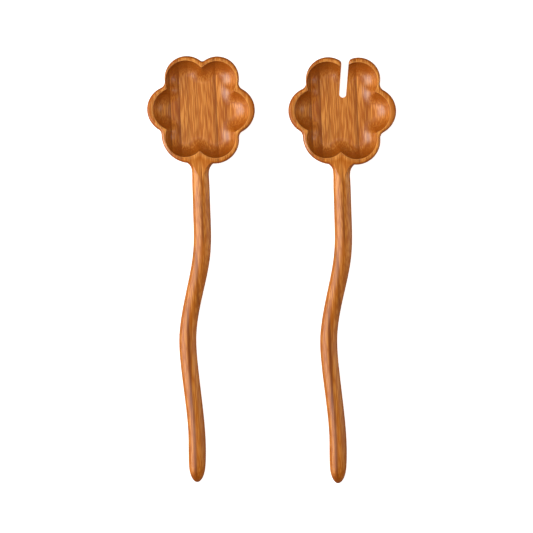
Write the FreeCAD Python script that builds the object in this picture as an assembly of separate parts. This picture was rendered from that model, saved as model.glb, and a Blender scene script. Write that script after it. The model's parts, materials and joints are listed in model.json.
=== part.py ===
import FreeCAD, Part
import math
import os

from FreeCAD import Vector

# A pair of salad servers lying on their backs on a table: a spoon and, to its right, a slotted fork.
# Each is carved in one piece from a board of edge-glued bamboo strips, so each strip is a solid of its own.
# Millimetres. Z is up and the table is z = 0. The heads point to +Y and the handles to -Y.
# The origin is on the table, in the middle of the pair.

# --- the pair ---
SERVER_SPACING = 99.6  # between the two head centres
FORK_DROP = 0.8  # the fork lies this much lower than the spoon
HANDLE_REACH = 264.0  # head centre to the tip of the handle

# --- the flower-shaped head: six round petals, measured from the head's centre ---
# (centre x, centre y, radius)
PETALS = (
    (21.1, -1.4, 16.7),
    (11.3, 21.1, 15.3),
    (-10.2, 21.1, 15.6),
    (-21.7, -0.8, 16.4),
    (-7.5, -18.3, 20.4),
    (9.7, -22.0, 17.0),
)
CORE_RADIUS = 24.0  # fills the middle of the flower, inside the petals
NOTCH_RADIUS = 5.0  # rounds the outer notch between two petals
TOP_NOTCH_RADIUS = 2.5  # the notch at the top of the head is nearly sharp
RIM_EDGE_RADIUS = 1.8  # rounds the rim's outer edge

# --- the hollow's outline: six arcs, each from one cusp over its petal's crown to the next cusp ---
CUSPS = ((23.6, -16.6), (22.7, 12.2), (0.3, 28.1), (-24.1, 13.2), (-24.0, -15.1), (-1.0, -30.0))
CROWNS = ((33.8, -2.0), (18.1, 31.1), (-18.2, 31.6), (-34.0, -0.9), (-21.2, -30.5), (17.2, -33.4))
CUSP_RADIUS = 1.0  # rounds each cusp
WALL_CURVE = 11.0  # radius of the curve from the wall to the floor

# --- heights ---
RIM_HEIGHT = 18.0  # table to the flat rim
BOWL_DEPTH = 13.0  # rim to the bowl's floor
BELLY_FLAT_RADIUS = 13.0  # flat patch that the head rests on
BELLY_RADIUS = 42.5  # where the belly's curve reaches upright
BELLY_TOP = 17.0  # height at which it does

# --- the handle: (down from the head's centre, sideways centre, width, thickness, squareness) ---
# It bends to the right, then to the left, then comes back. It flares into the head.
HANDLE_SECTIONS = (
    (30.0, -0.3, 34.0, 17.0, 2.6),
    (35.0, -0.3, 26.0, 15.0, 2.6),
    (38.5, -0.4, 19.0, 13.2, 2.5),
    (41.0, -0.4, 14.2, 12.2, 2.4),
    (44.0, -0.5, 12.2, 11.6, 2.3),
    (50.0, -0.4, 12.0, 11.2, 2.2),
    (62.0, 0.0, 12.2, 11.0, 2.1),
    (76.0, 0.45, 12.3, 11.0, 2.0),
    (91.0, 0.8, 12.3, 11.0, 2.0),
    (104.0, 0.1, 12.4, 11.0, 2.0),
    (126.0, -3.9, 12.3, 11.0, 2.0),
    (147.0, -8.1, 12.0, 11.0, 2.0),
    (161.0, -9.55, 12.1, 11.0, 2.0),
    (180.0, -8.6, 12.2, 11.0, 2.0),
    (210.0, -5.05, 12.0, 11.0, 2.0),
    (232.0, -3.1, 12.1, 11.0, 2.0),
    (250.0, -2.9, 12.0, 11.0, 2.0),
)
HANDLE_LIFT = 0.15  # the handle's low end clears the table by this
HANDLE_RISE = 9.2  # how far the handle's middle is above its tip's at the head's centre
HANDLE_FALL_LENGTH = 62.0  # it sinks towards the table over about this length
NOSE_TURNS = (30, 50, 65, 77, 84)  # degrees round the handle's rounded end
QUARTER = math.pi / 2
QUARTER_STEPS = 4  # steps along a quarter of one section
SMALL_TURN = 1e-4

# --- the fork's slot ---
SLOT_WIDTH = 4.8
SLOT_TOP_WIDTH = 5.4
SLOT_BOTTOM = 8.6  # from the head's centre
SLOT_BOTTOM_X = 0.2
SLOT_LEAN = 4.0  # degrees, to the right going up
SLOT_MOUTH_RADIUS = 3.0  # rounds the two corners at its mouth

# --- the bamboo strips: glue lines counted from the head's centre, at the strips' tilt ---
STRIP_PITCH = 6.494
FIRST_GLUE_LINE = -34.45
GLUE_LINES = 11
STRIP_TILT = 2.4  # degrees about Z; the strips run right going down
HEAD_ZONE_END = 41.0  # down to here, every strip is cut at its own glue lines
# Below the head, the bent handle holds only these strips: (down to, first strip, last strip). The outer two
# of each zone take the wood out to the handle's sides, so no strip ends in a feather edge.
HANDLE_ZONES = ((97.0, 6, 7), (116.0, 5, 7), (130.0, 5, 6), (143.0, 4, 6), (2 * HANDLE_REACH, 4, 5))

CLEARANCE = 5.0  # cutters reach this far past what they cut
FAR = 400.0
SAME = 0.01  # closer than this is the same place
CREASE_ANGLE = math.radians(5)

FLOOR_HEIGHT = RIM_HEIGHT - BOWL_DEPTH
HEAD_LEFT = min(x - r for x, y, r in PETALS)
HEAD_RIGHT = max(x + r for x, y, r in PETALS)
HEAD_TOP = max(y + r for x, y, r in PETALS)
HEAD_Y = (HANDLE_REACH + FORK_DROP - HEAD_TOP) / 2
MIDDLE_X = -(HEAD_LEFT + HEAD_RIGHT) / 2


def disc(x, y, radius):
    return Part.makeCylinder(radius, RIM_HEIGHT, Vector(x, y, 0))


def segment(x1, z1, x2, z2):
    return Part.makeLine(Vector(x1, 0, z1), Vector(x2, 0, z2))


def quarter_ellipse(centre_x, centre_z, run, height):
    """A quarter of an upright ellipse in the XZ plane: from straight below its centre to its side."""
    edge = Part.Ellipse(Vector(0, 0, 0), run, height).toShape(3 * QUARTER, 4 * QUARTER)
    edge.rotate(Vector(0, 0, 0), Vector(1, 0, 0), 90)
    edge.translate(Vector(centre_x, 0, centre_z))
    return edge


def upright_creases(solid):
    """The upright edges where two faces of a solid meet at an angle, as (edge, x, y)."""
    found = []
    for edge in solid.Edges:
        ends = [vertex.Point for vertex in edge.Vertexes]
        if len(ends) != 2 or math.hypot(ends[0].x - ends[1].x, ends[0].y - ends[1].y) > SAME:
            continue
        faces = [face for face in solid.Faces if any(edge.isSame(other) for other in face.Edges)]
        if len(faces) != 2:
            continue
        normals = [face.normalAt(*face.Surface.parameter(ends[0])) for face in faces]
        if normals[0].getAngle(normals[1]) > CREASE_ANGLE:
            found.append((edge, ends[0].x, ends[0].y))
    return found


def edges_at_height(solid, height):
    return [edge for edge in solid.Edges if all(abs(v.Z - height) < SAME for v in edge.Vertexes)]


def flower_block(slotted):
    """The head's outline, upright, from the table to the rim, with its notches and rim rounded."""
    lobes = [disc(x, y, radius) for x, y, radius in PETALS]
    block = disc(0, 0, CORE_RADIUS).multiFuse(lobes).removeSplitter().Solids[0]
    if slotted:
        block = block.cut(slot()).Solids[0]
    at_top = [edge for edge, x, y in upright_creases(block) if y > CORE_RADIUS and abs(x) < CORE_RADIUS / 2]
    block = block.makeFillet(SLOT_MOUTH_RADIUS if slotted else TOP_NOTCH_RADIUS, at_top)
    block = block.makeFillet(NOTCH_RADIUS, [edge for edge, x, y in upright_creases(block)])
    return block.makeFillet(RIM_EDGE_RADIUS, edges_at_height(block, RIM_HEIGHT))


def belly():
    """The rounded underside, as a bowl-shaped solid that trims the flower block from below."""
    top = RIM_HEIGHT + CLEARANCE
    profile = Part.Wire(
        [
            segment(0, top, 0, 0),
            segment(0, 0, BELLY_FLAT_RADIUS, 0),
            quarter_ellipse(BELLY_FLAT_RADIUS, BELLY_TOP, BELLY_RADIUS - BELLY_FLAT_RADIUS, BELLY_TOP),
            segment(BELLY_RADIUS, BELLY_TOP, BELLY_RADIUS, top),
            segment(BELLY_RADIUS, top, 0, top),
        ]
    )
    return Part.Face(profile).revolve(Vector(0, 0, 0), Vector(0, 0, 1), 360)


def hollow():
    """The bowl's inside: upright at the rim, with a round curve down to a flat floor."""
    edges = []
    for start, crown, end in zip(CUSPS, CROWNS, CUSPS[1:] + CUSPS[:1]):
        edges.append(Part.Arc(*(Vector(x, y, FLOOR_HEIGHT) for x, y in (start, crown, end))).toShape())
    block = Part.Face(Part.Wire(edges)).extrude(Vector(0, 0, BOWL_DEPTH + CLEARANCE))
    block = block.makeFillet(CUSP_RADIUS, [edge for edge, x, y in upright_creases(block)])
    return block.makeFillet(WALL_CURVE, edges_at_height(block, FLOOR_HEIGHT))


def handle_height(down):
    """The height of the handle's middle, this far down from the head's centre."""
    tip = HANDLE_LIFT + HANDLE_SECTIONS[-1][3] / 2
    return tip + HANDLE_RISE * math.exp(-((down / HANDLE_FALL_LENGTH) ** 2) / 2)


def handle_section(down, side, width, thickness, squareness):
    """A closed rounded section across the handle: an ellipse at squareness 2, and boxier above it.

    It is four quarter curves, for the right side, top, left side and underside.
    """

    def point(turn):
        across = math.copysign(abs(math.cos(turn)) ** (2 / squareness), math.cos(turn))
        up = math.copysign(abs(math.sin(turn)) ** (2 / squareness), math.sin(turn))
        return Vector(side + across * width / 2, -down, handle_height(down) + up * thickness / 2)

    def slope(turn):
        return (point(turn + SMALL_TURN) - point(turn - SMALL_TURN)) * (QUARTER / (2 * SMALL_TURN))

    edges = []
    for quarter in range(4):
        start = (quarter - 0.5) * QUARTER
        places = [i / QUARTER_STEPS for i in range(QUARTER_STEPS + 1)]
        curve = Part.BSplineCurve()
        curve.interpolate(
            Points=[point(start + place * QUARTER) for place in places],
            Parameters=places,
            InitialTangent=slope(start),
            FinalTangent=slope(start + QUARTER),
        )
        edges.append(curve.toShape())
    return Part.Wire(edges)


def nose_sections():
    """The handle's rounded end: sections of half an ellipsoid, narrowing to a small flat."""
    down, side, width, thickness, squareness = HANDLE_SECTIONS[-1]
    for degrees in NOSE_TURNS:
        turn = math.radians(degrees)
        reach = (HANDLE_REACH - down) * math.sin(turn) / math.sin(math.radians(NOSE_TURNS[-1]))
        yield down + reach, side, width * math.cos(turn), thickness * math.cos(turn), squareness


def handle():
    sections = [handle_section(*row) for row in (*HANDLE_SECTIONS, *nose_sections())]
    return Part.makeLoft(sections, True)


def slot():
    """The cutter for the fork's slot: a round bottom, and sides that open a little going up."""
    half = SLOT_WIDTH / 2
    half_top = SLOT_TOP_WIDTH / 2
    low = SLOT_BOTTOM + half
    high = HEAD_TOP + CLEARANCE
    outline = [
        Part.Arc(Vector(-half, low), Vector(0, SLOT_BOTTOM), Vector(half, low)).toShape(),
        Part.makeLine(Vector(half, low), Vector(half_top, high)),
        Part.makeLine(Vector(half_top, high), Vector(-half_top, high)),
        Part.makeLine(Vector(-half_top, high), Vector(-half, low)),
    ]
    cutter = Part.Face(Part.Wire(outline)).extrude(Vector(0, 0, RIM_HEIGHT + 2 * CLEARANCE))
    cutter.translate(Vector(0, 0, -CLEARANCE))
    cutter.rotate(Vector(0, SLOT_BOTTOM, 0), Vector(0, 0, 1), -SLOT_LEAN)
    cutter.translate(Vector(SLOT_BOTTOM_X, 0, 0))
    return cutter


def server(slotted):
    """One whole carved server, with its head's centre above the origin."""
    solid = flower_block(slotted).common(belly()).fuse(handle())
    above = Part.makeBox(2 * FAR, 2 * FAR, FAR, Vector(-FAR, -FAR, RIM_HEIGHT))
    return solid.cut(above).cut(hollow()).removeSplitter()


def zone_box(left, right, start, end):
    """The space between two glue lines and between two distances down from the head's centre."""
    size = Vector(right - left, end - start, RIM_HEIGHT + 2 * CLEARANCE)
    return Part.makeBox(size.x, size.y, size.z, Vector(left, -end, -CLEARANCE))


def strip_space(number):
    """The space that one strip takes up, in the head and in each zone of the handle that it reaches."""
    lines = [-FAR, *(FIRST_GLUE_LINE + i * STRIP_PITCH for i in range(GLUE_LINES)), FAR]
    left, right = lines[number - 1], lines[number]
    boxes = [zone_box(left, right, -FAR, HEAD_ZONE_END)]
    start = HEAD_ZONE_END
    for end, first, last in HANDLE_ZONES:
        if first <= number <= last:
            zone_left = -FAR if number == first else left
            zone_right = FAR if number == last else right
            boxes.append(zone_box(zone_left, zone_right, start, end))
        start = end
    space = boxes[0].multiFuse(boxes[1:]) if boxes[1:] else boxes[0]
    space.rotate(Vector(0, 0, 0), Vector(0, 0, 1), STRIP_TILT)
    return space


def main():
    os.makedirs("parts", exist_ok=True)
    spoon_centre = Vector(MIDDLE_X - SERVER_SPACING / 2, HEAD_Y, 0)
    fork_centre = Vector(MIDDLE_X + SERVER_SPACING / 2, HEAD_Y - FORK_DROP, 0)
    for name, centre, slotted in (("spoon", spoon_centre, False), ("fork", fork_centre, True)):
        whole = server(slotted)
        for number in range(1, GLUE_LINES + 2):
            strip = whole.common(strip_space(number))
            strip.translate(centre)
            strip.exportStep(f"parts/{name}_strip_{number:02d}.step")
            print(name, number, len(strip.Solids), round(strip.Volume, 1), strip.isValid())


main()
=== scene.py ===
import json
import math

import bpy
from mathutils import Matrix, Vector

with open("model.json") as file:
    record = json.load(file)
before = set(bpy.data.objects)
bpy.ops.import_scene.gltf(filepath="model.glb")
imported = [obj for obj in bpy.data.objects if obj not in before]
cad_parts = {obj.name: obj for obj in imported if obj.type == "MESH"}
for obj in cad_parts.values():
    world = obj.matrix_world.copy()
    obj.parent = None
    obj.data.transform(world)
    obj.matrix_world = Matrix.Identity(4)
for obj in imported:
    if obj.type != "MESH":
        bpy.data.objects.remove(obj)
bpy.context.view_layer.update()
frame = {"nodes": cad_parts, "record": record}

# Everything is in metres. The grain's own axes are u across the strips, v along them and w up. Their origin
# is on the table under the head's centre, so one set of numbers serves the spoon and the fork.

# --- the bamboo strips, as in the CAD ---
FIRST_GLUE_LINE = -0.03445
STRIP_PITCH = 0.006494
STRIP_TILT = math.radians(2.4)

# --- the hollow's outline, as in the CAD: arcs from each cusp over its petal's crown to the next cusp ---
CUSPS = (
    (0.0236, -0.0166), (0.0227, 0.0122), (0.0003, 0.0281),
    (-0.0241, 0.0132), (-0.0240, -0.0151), (-0.0010, -0.0300),
)
CROWNS = (
    (0.0338, -0.0020), (0.0181, 0.0311), (-0.0182, 0.0316),
    (-0.0340, -0.0009), (-0.0212, -0.0305), (0.0172, -0.0334),
)
HOLLOW_CORE = (0.0, 0.0, 0.0240)  # centre and radius of a circle that fills the hollow's middle
RIM_HEIGHT = 0.018
RIM_ZONE = (RIM_HEIGHT - 0.0010, RIM_HEIGHT - 0.0003)  # heights where the rim's own looks fade in
HEAD_END = (-0.042, -0.034)  # along v, where the handle's looks give way to the head's

# --- bamboo tones, linear RGB: the ground between the fibres, and the fibres ---
TONES = {
    "amber": ((0.46, 0.112, 0.003), (0.90, 0.355, 0.060)),
    "honey": ((0.49, 0.124, 0.004), (0.93, 0.375, 0.068)),
    "dark": ((0.42, 0.092, 0.002), (0.80, 0.280, 0.036)),
}
END_GRAIN = (0.36, 0.074, 0.001)
STAIN = (0.17, 0.034, 0.001)

# Strips from left to right: tone, and how much darker the dense fibres at one side are. It is the right
# side, or the left side where the number is below zero.
STRIPS = (
    ("amber", 0.3), ("amber", 0.4), ("amber", 1.0), ("dark", 0.8), ("honey", 0.4), ("honey", 0.3),
    ("honey", 0.2), ("amber", 0.9), ("amber", 0.5), ("amber", -0.4), ("amber", 0.3), ("amber", 0.3),
)
DENSE_FALLOFF = 2.0  # the power by which the dense side fades across its strip
DENSE_SHADE = 0.5  # the dense side's colour, as a share of the ground tone

# --- fibres: cells per metre along u, v and w, for each pattern ---
ROD_CELLS = (1300, 75, 1300)
STREAK_CELLS = (600, 14, 600)
SWAY_CELLS = (60, 16, 60)
CLOUD_CELLS = (70, 14, 70)
ROD_EDGE = 0.55  # a rod's edge and its core, as distances from its middle, in cells
ROD_CORE = 0.30
STREAK_RANGE = (0.36, 0.66)  # noise that turns from ground to fibre
DASH_SHARE = 0.8  # how much of the light fibres shows as dashes, and how much as long streaks
STREAK_SHARE = 0.3
SWAY_ACROSS = 0.0002  # how far the rods weave sideways, and up
SWAY_UP = 0.0014
PATTERN_STEP = 3.7  # sets each strip's patterns apart from the next one's

# --- darker wood, and painted shade on the rim's outside ---
CLOUD_RANGE = (0.35, 0.75)  # noise that turns from clear to clouded
CLOUD_STRENGTH = 0.3
CLOUD_SHADE = 0.8  # as a share of the ground tone, and so is the handle's
HANDLE_DARKENS = (-0.040, -0.070)  # along v: hands have darkened the handle
HANDLE_STRENGTH = 0.40
HANDLE_SHADE = 0.7
END_GRAIN_RANGE = (0.06, 0.60)  # cosine between the surface's normal and the fibres
END_GRAIN_STRENGTH = 0.75
# painted shade: the rim's outside and the head's outer walls are darkened towards the end-grain tone
RIM_PAINTED_SHADE = (0.0014, 0.0036)  # outwards from the hollow's edge
RIM_PAINTED_SHADE_STRENGTH = 0.8

# The dark strip has a pale line at its left side, and turns amber down the handle.
PALE_LINE = (0.0004, 0.0012)  # from its left side: the line is full up to the first, and gone by the second
PALE_LINE_STRENGTH = 0.5
DARK_STRIP_PALES = (-0.055, -0.100)

# Dark streaks and spots in the handle: (u, v, half width, half length, strength).
STAINS = (
    (-0.0156, -0.180, 0.0015, 0.050, 0.85),
    (-0.0144, -0.236, 0.0015, 0.044, 0.75),
    (-0.0151, -0.264, 0.0040, 0.008, 0.60),
    (-0.0024, -0.080, 0.0012, 0.020, 0.65),
    (-0.0018, -0.056, 0.0008, 0.020, 0.50),
    (-0.0078, -0.122, 0.0013, 0.030, 0.55),
    (0.0008, -0.128, 0.0012, 0.002, 0.40),
)
STAIN_FULL_WIDTH = 0.3  # the share of a stain's half width, and of its half length, that is fully dark
STAIN_FULL_LENGTH = 0.5

# --- the hollow's edge: eased, rubbed pale, and given a painted highlight ---
LIP_WIDTH = 0.0008
LIP_DROP = 0.0004  # how deep the easing looks
# how far the edge is paled towards the fibre tone: rubbed wear plus a painted highlight on the eased edge
LIP_WEAR_AND_HIGHLIGHT = 0.6

# --- sheen: the hollow is polished, the rim's outside is only sanded, and the handle's polish wears off ---
POLISH_FADES = (0.001, 0.003)  # outwards from the hollow's edge
POLISHED = 1.0
SANDED = 0.25
HANDLE_WEARS = (-0.050, -0.250)  # along v
HANDLE_POLISH = (0.66, 0.45)  # at the first place and at the second
COAT_ROUGHNESS = 0.32
COAT_IOR = 1.6
WOOD_ROUGHNESS = (0.34, 0.42)  # between the fibre streaks, and on them
WOOD_SPECULAR = 0.05

# --- relief ---
TOOL_MARK_PITCH = 0.0013
TOOL_MARK_HEIGHT = 0.12  # as a share of a fibre streak's
TOOL_MARKS_END = (-0.0005, -0.0015)  # outwards from the hollow's edge: where they stop at the rim
TOOL_MARKS_START = (-0.011, -0.006)  # and where they fade in from the floor
DASH_HEIGHT = 0.6  # as a share of a fibre streak's
RELIEF_STRENGTH = 0.4
RELIEF_DEPTH = 0.00015

# --- the studio ---
WHITE = (1.0, 1.0, 1.0)
TABLE_SIZE = 6.0
TABLE_GAP = 0.0003  # the table top lies this far below the servers
TABLE_TONES = ((0.66, 0.66, 0.66), (0.72, 0.72, 0.72))
TABLE_CELLS = (9, 9, 9)
TABLE_ROUGHNESS = 0.9
TABLE_GLOW = 0.8
WORLD_GLOW = 0.2
# name, place, width, length, watts, whether it shows in reflections
LAMPS = (
    ("top_soft", (0.0, 0.3, 1.4), 0.8, 0.8, 7.5, False),
    ("key_left", (-1.15, -0.12, 0.80), 0.9, 1.9, 23.5, True),
    ("fill_right", (1.3, 0.0, 0.42), 0.25, 1.7, 2.5, True),
)

# --- the camera ---
VIEW_MIDDLE = Vector((-0.0036, 0.0024, 0.01))
SEEN_WIDTH = 0.3763
LENS_MM = 300
SENSOR_MM = 36
CLIP_END = 20


def fill(tree, made, inputs):
    """Sets a node's sockets, by name or number, to numbers or colours, or links other nodes' outputs."""
    for name, value in inputs.items():
        socket = made.inputs[name]
        if isinstance(value, bpy.types.NodeSocket):
            tree.links.new(value, socket)
        elif isinstance(value, tuple) and len(value) < len(socket.default_value):
            socket.default_value = (*value, 1.0)
        else:
            socket.default_value = value


def node(tree, kind, inputs, **settings):
    made = tree.nodes.new(kind)
    for name, value in settings.items():
        setattr(made, name, value)
    fill(tree, made, inputs)
    return made


def math_node(tree, operation, a, b=0.0, clamp=False):
    return node(tree, "ShaderNodeMath", {0: a, 1: b}, operation=operation, use_clamp=clamp).outputs[0]


def multiply(tree, a, b):
    return math_node(tree, "MULTIPLY", a, b)


def vector_node(tree, operation, a, b, output=0):
    return node(tree, "ShaderNodeVectorMath", {0: a, 1: b}, operation=operation).outputs[output]


def remap(tree, value, low, high, to_low=0.0, to_high=1.0):
    """Carries low to to_low and high to to_high, and holds steady beyond them."""
    sockets = {0: value, 1: low, 2: high, 3: to_low, 4: to_high}
    return node(tree, "ShaderNodeMapRange", sockets).outputs[0]


def mix_color(tree, factor, a, b):
    return node(tree, "ShaderNodeMix", {0: factor, 6: a, 7: b}, data_type="RGBA").outputs[2]


def shaded(tone, share):
    return tuple(share * channel for channel in tone)


def cells(tree, vector, per_metre, offset=(0.0, 0.0, 0.0)):
    """Coordinates in which a pattern's cells are one unit wide."""
    sockets = {"Vector": vector, "Scale": per_metre, "Location": offset}
    return node(tree, "ShaderNodeMapping", sockets).outputs[0]


def noise(tree, vector, detail):
    return node(tree, "ShaderNodeTexNoise", {"Vector": vector, "Scale": 1.0, "Detail": detail}).outputs[0]


def seen_from(tree, place, centre, tilt):
    """Coordinates about a head's centre, turned by a tilt about the vertical."""
    sockets = {"Vector": place.outputs["Object"], "Location": centre, "Rotation": (0.0, 0.0, tilt)}
    return node(tree, "ShaderNodeMapping", sockets, vector_type="TEXTURE").outputs[0]


def new_material(name):
    """A material, its node tree and its shader."""
    material = bpy.data.materials.new(name)
    material.use_nodes = True
    return material, material.node_tree, material.node_tree.nodes["Principled BSDF"]


def strip_left(number):
    """Where a strip's left side is, along u. The first glue line is between strips 1 and 2."""
    return FIRST_GLUE_LINE + (number - 2) * STRIP_PITCH


def fibres(tree, grain, seed):
    """Fibre bundles, as dashes and streaks: thin rods that weave along the strip, cut by the surface."""
    sway = noise(tree, cells(tree, grain, SWAY_CELLS, (seed, 0.0, 0.0)), detail=1.0)
    across = multiply(tree, sway, SWAY_ACROSS)
    up = multiply(tree, sway, SWAY_UP)
    shift = node(tree, "ShaderNodeCombineXYZ", {"X": across, "Z": up}).outputs[0]
    swayed = vector_node(tree, "ADD", grain, shift)
    rod_cells = cells(tree, swayed, ROD_CELLS, (seed, seed, 0.0))
    rods = node(tree, "ShaderNodeTexVoronoi", {"Vector": rod_cells, "Scale": 1.0})
    dashes = remap(tree, rods.outputs["Distance"], ROD_EDGE, ROD_CORE)
    streaks = noise(tree, cells(tree, swayed, STREAK_CELLS, (0.0, seed, seed)), detail=4.0)
    return dashes, remap(tree, streaks, *STREAK_RANGE)


def circle_through(a, b, c):
    """The centre and the radius of the circle through three points of the plan."""
    to_b, to_c = b - a, c - a
    turn = 2 * to_b.cross(to_c)
    x = (to_b.length_squared * to_c.y - to_c.length_squared * to_b.y) / turn
    y = (to_c.length_squared * to_b.x - to_b.length_squared * to_c.x) / turn
    return a.x + x, a.y + y, math.hypot(x, y)


def hollow_circles():
    """Circles that cover the hollow: one for each arc of its outline, and one in the middle."""
    cusps = [Vector(cusp) for cusp in CUSPS]
    crowns = [Vector(crown) for crown in CROWNS]
    arcs = zip(cusps, crowns, cusps[1:] + cusps[:1])
    return [*(circle_through(*arc) for arc in arcs), HOLLOW_CORE]


def lip_distance(tree, around_head):
    """How far a point is outside the hollow's outline, seen from above. It is negative over the hollow."""
    flat = vector_node(tree, "MULTIPLY", around_head, (1.0, 1.0, 0.0))
    nearest = None
    for x, y, radius in hollow_circles():
        to_centre = vector_node(tree, "DISTANCE", flat, (x, y, 0.0), output="Value")
        outside = math_node(tree, "SUBTRACT", to_centre, radius)
        nearest = math_node(tree, "MINIMUM", nearest, outside) if nearest else outside
    return nearest


def strip_color(tree, u, v, lit, number, tone, density):
    """Fibres on the ground tone, and the strip's dense side."""
    ground, fibre = TONES[tone]
    left = strip_left(number)
    right = left + STRIP_PITCH
    color = mix_color(tree, lit, ground, fibre)
    sides = (left, right) if density > 0 else (right, left)
    dense = math_node(tree, "POWER", remap(tree, u, *sides), DENSE_FALLOFF)
    color = mix_color(tree, multiply(tree, dense, abs(density)), color, shaded(ground, DENSE_SHADE))
    if tone == "dark":
        line_full, line_gone = PALE_LINE
        line = remap(tree, u, left + line_full, left + line_gone, PALE_LINE_STRENGTH, 0.0)
        color = mix_color(tree, line, color, fibre)
        amber = mix_color(tree, lit, *TONES["amber"])
        color = mix_color(tree, remap(tree, v, *DARK_STRIP_PALES), color, amber)
    return color


def darken(tree, color, grain, v, ground, seed):
    """Slow clouds of darker wood, and the darker handle."""
    cloud = noise(tree, cells(tree, grain, CLOUD_CELLS, (seed, 1.0, seed)), detail=2.0)
    clouded = remap(tree, cloud, *CLOUD_RANGE, 0.0, CLOUD_STRENGTH)
    color = mix_color(tree, clouded, color, shaded(ground, CLOUD_SHADE))
    handled = remap(tree, v, *HANDLE_DARKENS, 0.0, HANDLE_STRENGTH)
    return mix_color(tree, handled, color, shaded(ground, HANDLE_SHADE))


def end_grain_share(tree, place):
    """Where a cut crosses the fibres, the oil soaks in and darkens the wood."""
    fibre_axis = (-math.sin(STRIP_TILT), math.cos(STRIP_TILT), 0.0)
    facing = vector_node(tree, "DOT_PRODUCT", place.outputs["Normal"], fibre_axis, output="Value")
    across_fibres = math_node(tree, "ABSOLUTE", facing)
    return remap(tree, across_fibres, *END_GRAIN_RANGE, 0.0, END_GRAIN_STRENGTH)


def stain_share(tree, u, v, number):
    """How dark a strip's streaks and spots are at a point, or None if the strip has none."""
    left = strip_left(number)
    share = None
    for place_u, place_v, half_width, half_length, strength in STAINS:
        if not left - half_width < place_u < left + STRIP_PITCH + half_width:
            continue
        aside = math_node(tree, "ABSOLUTE", math_node(tree, "SUBTRACT", u, place_u))
        along = math_node(tree, "ABSOLUTE", math_node(tree, "SUBTRACT", v, place_v))
        across_share = remap(tree, aside, half_width, STAIN_FULL_WIDTH * half_width)
        along_share = remap(tree, along, half_length, STAIN_FULL_LENGTH * half_length, 0.0, strength)
        one = multiply(tree, across_share, along_share)
        share = math_node(tree, "MAXIMUM", share, one) if share else one
    return share


def edge_color(tree, color, fibre, outside, at_rim, on_head):
    """The hollow's edge is paled as wear and as a painted highlight; the rim's outside gets painted shade."""
    near_lip = remap(tree, math_node(tree, "ABSOLUTE", outside), LIP_WIDTH, 0.0)
    # pale lip: rubbed wear plus a painted highlight
    pale_lip_wear_and_highlight = multiply(tree, multiply(tree, near_lip, at_rim), LIP_WEAR_AND_HIGHLIGHT)
    color = mix_color(tree, pale_lip_wear_and_highlight, color, fibre)
    # painted shade on the rim's outside
    painted_rim_shade = multiply(tree, remap(tree, outside, *RIM_PAINTED_SHADE, 0.0, RIM_PAINTED_SHADE_STRENGTH), on_head)
    return mix_color(tree, painted_rim_shade, color, END_GRAIN)


def add_sheen(tree, shader, v, streaks, outside, on_head):
    off_head = remap(tree, on_head, 1.0, 0.0)
    polish = remap(tree, outside, *POLISH_FADES, POLISHED, SANDED)
    handle_polish = multiply(tree, remap(tree, v, *HANDLE_WEARS, *HANDLE_POLISH), off_head)
    fill(tree, shader, {
        "Roughness": remap(tree, streaks, 0.0, 1.0, *WOOD_ROUGHNESS),
        "Specular IOR Level": WOOD_SPECULAR,
        "Coat Weight": math_node(tree, "MAXIMUM", polish, handle_polish),
        "Coat Roughness": COAT_ROUGHNESS,
        "Coat IOR": COAT_IOR,
    })


def add_relief(tree, shader, dashes, streaks, outside, at_rim):
    """The hollow's eased edge, the fibres, and the faint marks that the cutter left on the hollow's walls."""
    edge_height = multiply(tree, remap(tree, outside, 0.0, LIP_WIDTH), at_rim)
    eased = node(tree, "ShaderNodeBump", {"Height": edge_height, "Strength": 1.0, "Distance": LIP_DROP})
    wave = math_node(tree, "SINE", multiply(tree, outside, 2 * math.pi / TOOL_MARK_PITCH))
    marks = multiply(tree, wave, remap(tree, outside, *TOOL_MARKS_END, 0.0, TOOL_MARK_HEIGHT))
    marks = multiply(tree, marks, remap(tree, outside, *TOOL_MARKS_START))
    fibre_height = math_node(tree, "ADD", multiply(tree, dashes, DASH_HEIGHT), streaks)
    relief = node(tree, "ShaderNodeBump", {
        "Height": math_node(tree, "ADD", fibre_height, marks),
        "Normal": eased.outputs[0],
        "Strength": RELIEF_STRENGTH,
        "Distance": RELIEF_DEPTH,
    })
    fill(tree, shader, {"Normal": relief.outputs[0]})


def bamboo(name, number, centre, tone, density):
    """Oiled caramel bamboo for one strip, with the fibres along its length."""
    material, tree, shader = new_material(name)
    ground, fibre = TONES[tone]
    seed = PATTERN_STEP * number

    place = node(tree, "ShaderNodeTexCoord", {})
    grain = seen_from(tree, place, centre, STRIP_TILT)
    u, v, w = node(tree, "ShaderNodeSeparateXYZ", {0: grain}).outputs
    outside = lip_distance(tree, seen_from(tree, place, centre, 0.0))
    at_rim = remap(tree, w, *RIM_ZONE)
    on_head = remap(tree, v, *HEAD_END)
    dashes, streaks = fibres(tree, grain, seed)
    dash_light = multiply(tree, dashes, DASH_SHARE)
    streak_light = multiply(tree, streaks, STREAK_SHARE)
    lit = math_node(tree, "ADD", dash_light, streak_light, clamp=True)

    color = strip_color(tree, u, v, lit, number, tone, density)
    color = darken(tree, color, grain, v, ground, seed)
    color = mix_color(tree, end_grain_share(tree, place), color, END_GRAIN)
    stains = stain_share(tree, u, v, number)
    if stains:
        color = mix_color(tree, stains, color, STAIN)
    color = edge_color(tree, color, fibre, outside, at_rim, on_head)
    fill(tree, shader, {"Base Color": color})
    add_sheen(tree, shader, v, streaks, outside, on_head)
    add_relief(tree, shader, dashes, streaks, outside, at_rim)
    return material


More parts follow.
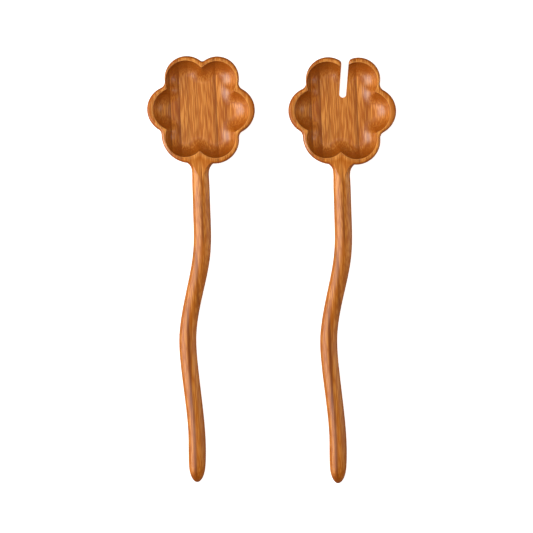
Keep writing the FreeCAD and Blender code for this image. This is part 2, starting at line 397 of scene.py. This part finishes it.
def paint_servers():
    centres = {m["name"].split("_")[0]: Vector(m["pos_m"]) for m in frame["record"]["mounts"]}
    for server, centre in centres.items():
        for number, (tone, density) in enumerate(STRIPS, 1):
            strip = frame["nodes"][f"{server}_strip_{number:02d}"]
            material = bamboo(f"{server}_bamboo_{number:02d}", number, centre, tone, density)
            strip.data.materials.clear()
            strip.data.materials.append(material)


def floor():
    """A white table top that glows a little, so that shadows on it stay faint."""
    bpy.ops.mesh.primitive_plane_add(size=TABLE_SIZE, location=(0, 0, -TABLE_GAP))
    table = bpy.context.object
    table.name = "table_top"
    table.visible_glossy = False
    material, tree, shader = new_material("white_table")
    place = node(tree, "ShaderNodeTexCoord", {})
    mottle = noise(tree, cells(tree, place.outputs["Object"], TABLE_CELLS), detail=2.0)
    fill(tree, shader, {
        "Base Color": mix_color(tree, mottle, *TABLE_TONES),
        "Roughness": TABLE_ROUGHNESS,
        "Emission Color": WHITE,
        "Emission Strength": TABLE_GLOW,
    })
    table.data.materials.append(material)


def softbox(name, place, width, length, watts, in_reflections):
    """A rectangular lamp that points at the middle of the view."""
    light = bpy.data.lights.new(name, "AREA")
    light.shape = "RECTANGLE"
    light.size = width
    light.size_y = length
    light.energy = watts
    lamp = bpy.data.objects.new(name, light)
    lamp.location = place
    lamp.rotation_euler = (VIEW_MIDDLE - Vector(place)).to_track_quat("-Z", "Y").to_euler()
    lamp.visible_glossy = in_reflections
    bpy.context.scene.collection.objects.link(lamp)


def studio():
    world = bpy.data.worlds.new("studio")
    world.use_nodes = True
    fill(world.node_tree, world.node_tree.nodes["Background"], {"Color": WHITE, "Strength": WORLD_GLOW})
    bpy.context.scene.world = world
    world.cycles_visibility.glossy = False
    for lamp in LAMPS:
        softbox(*lamp)


def camera():
    """Straight above the pair, looking down through a long lens, with the heads at the top of the picture."""
    lens = bpy.data.cameras.new("camera")
    lens.lens = LENS_MM
    lens.sensor_width = SENSOR_MM
    lens.clip_end = CLIP_END
    eye = bpy.data.objects.new("camera", lens)
    eye.location = VIEW_MIDDLE + Vector((0, 0, SEEN_WIDTH * LENS_MM / SENSOR_MM))
    bpy.context.scene.collection.objects.link(eye)
    bpy.context.scene.camera = eye


paint_servers()
floor()
studio()
camera()
bpy.context.scene.view_settings.view_transform = "Standard"
